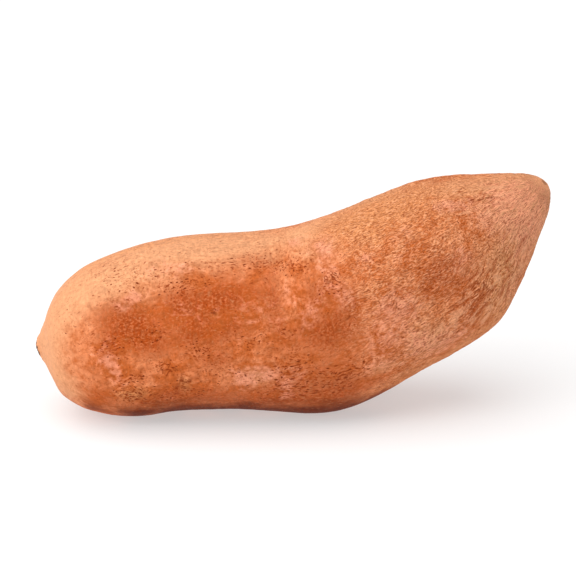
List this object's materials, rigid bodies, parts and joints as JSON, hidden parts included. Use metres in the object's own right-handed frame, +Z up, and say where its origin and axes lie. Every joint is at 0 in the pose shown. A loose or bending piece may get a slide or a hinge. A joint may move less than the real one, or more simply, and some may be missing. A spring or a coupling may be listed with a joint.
{
  "type": "sweet potato",
  "caption": "Whole raw sweet potato: long storage root with a pointed neck, a slight waist and a blunt raised far end, lying on its belly.",
  "frame": {"origin": "middle of the bounding box, at the level that the root lies on", "axes": "+X along the root from its neck to its raised far end, +Y away from the viewer, +Z up"},
  "size_m": [0.181, 0.0664, 0.0825],
  "materials": {
    "skin": "orange-brown root skin, satin and smooth towards the neck, finely wrinkled and duller towards the far end, with rust and pale pink mottling and dark pores"
  },
  "bodies": {
    "root": {"sweet_potato": "skin"}
  },
  "joints": []
}
